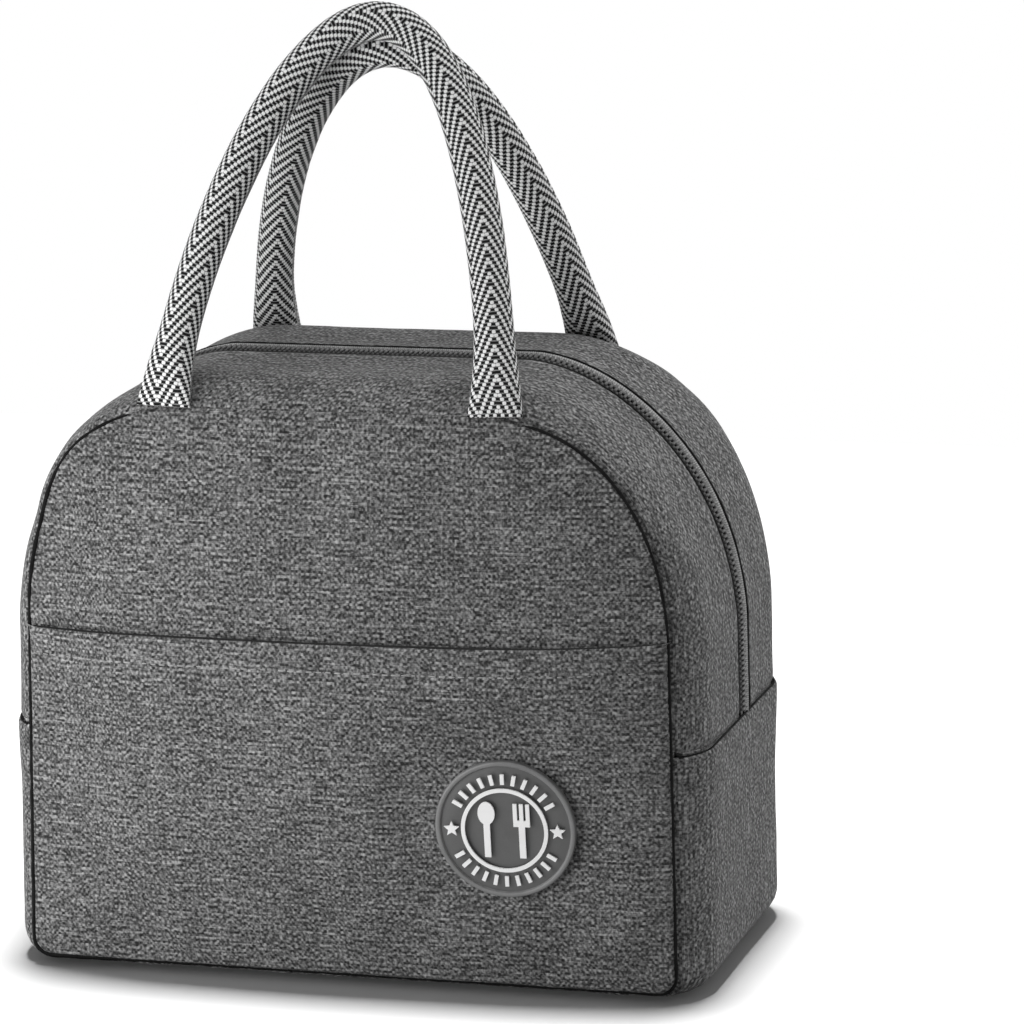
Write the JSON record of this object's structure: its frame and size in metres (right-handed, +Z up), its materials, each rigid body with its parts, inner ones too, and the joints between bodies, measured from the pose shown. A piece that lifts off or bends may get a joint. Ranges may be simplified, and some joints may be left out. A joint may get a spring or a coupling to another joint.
{
  "type": "insulated lunch bag",
  "caption": "Soft insulated lunch bag with an arched zip opening, a front slip pocket, a round rubber badge and two rolled webbing handles.",
  "frame": {"origin": "middle of the flat base where the bag stands, on the table", "axes": "+Z up, -Y towards the front pocket, +X to the right seen from the front"},
  "size_m": [0.2409, 0.1304, 0.3083],
  "materials": {
    "heather_fabric": "heather grey woven polyester with horizontal slubs",
    "foam": "closed-cell foam",
    "foil_lining": "aluminised film lining",
    "binding_tape": "ribbed binding tape",
    "zip_tape": "woven zip tape",
    "zip_coil": "dark nylon coil",
    "slider_metal": "dull die-cast metal",
    "webbing": "two-tone grey herringbone webbing, rolled and stitched",
    "badge_rubber": "soft moulded rubber, matt",
    "badge_relief": "pale moulded rubber, matt"
  },
  "bodies": {
    "root": {"front_panel_lower": "heather_fabric", "front_foam_lower": "foam", "front_lining_lower": "foil_lining", "front_pocket_lower": "heather_fabric", "back_panel": "heather_fabric", "back_foam": "foam", "back_lining": "foil_lining", "zip_strip_back": "heather_fabric", "strip_foam_back": "foam", "strip_lining_back": "foil_lining", "base_gusset": "heather_fabric", "base_foam": "foam", "base_lining": "foil_lining", "seam_binding_front_lower": "binding_tape", "seam_binding_back": "binding_tape", "zip_tape_back": "zip_tape", "zip_coil_back": "zip_coil", "badge_disc": "badge_rubber", "badge_emblem": "badge_relief"},
    "front_flap": {"front_panel_upper": "heather_fabric", "front_foam_upper": "foam", "front_lining_upper": "foil_lining", "front_pocket_upper": "heather_fabric", "zip_strip_front": "heather_fabric", "strip_foam_front": "foam", "strip_lining_front": "foil_lining", "seam_binding_front_upper": "binding_tape", "zip_tape_front": "zip_tape", "zip_coil_front": "zip_coil"},
    "front_handle": {"handle_front": "webbing"},
    "back_handle": {"handle_back": "webbing"},
    "slider": {"zip_slider": "slider_metal", "zip_slider_pin": "slider_metal"},
    "pull_tab": {"zip_pull_tab": "slider_metal"}
  },
  "joints": [
    {"name": "flap_fold", "type": "hinge", "parent": "root", "child": "front_flap", "pos_m": [0, -0.0659, 0.08], "axis": [1, 0, 0], "range_deg": [0, 45], "deforming": ["zip_tape_front", "zip_coil_front"]},
    {"name": "front_handle_swing", "type": "hinge", "parent": "front_flap", "child": "front_handle", "pos_m": [0, -0.0548, 0.1865], "axis": [1, 0, 0], "range_deg": [0, 150]},
    {"name": "back_handle_swing", "type": "hinge", "parent": "root", "child": "back_handle", "pos_m": [0, 0.0548, 0.1865], "axis": [-1, 0, 0], "range_deg": [0, 150]},
    {"name": "slider_travel", "type": "slide", "parent": "root", "child": "slider", "axis": [0, 0, 1], "range_m": [0, 0.02], "deforming": ["zip_tape_back", "zip_coil_back"]},
    {"name": "tab_swing", "type": "hinge", "parent": "slider", "child": "pull_tab", "pos_m": [-0.12115, 0, 0.087], "axis": [0, 1, 0], "range_deg": [0, 175]}
  ]
}
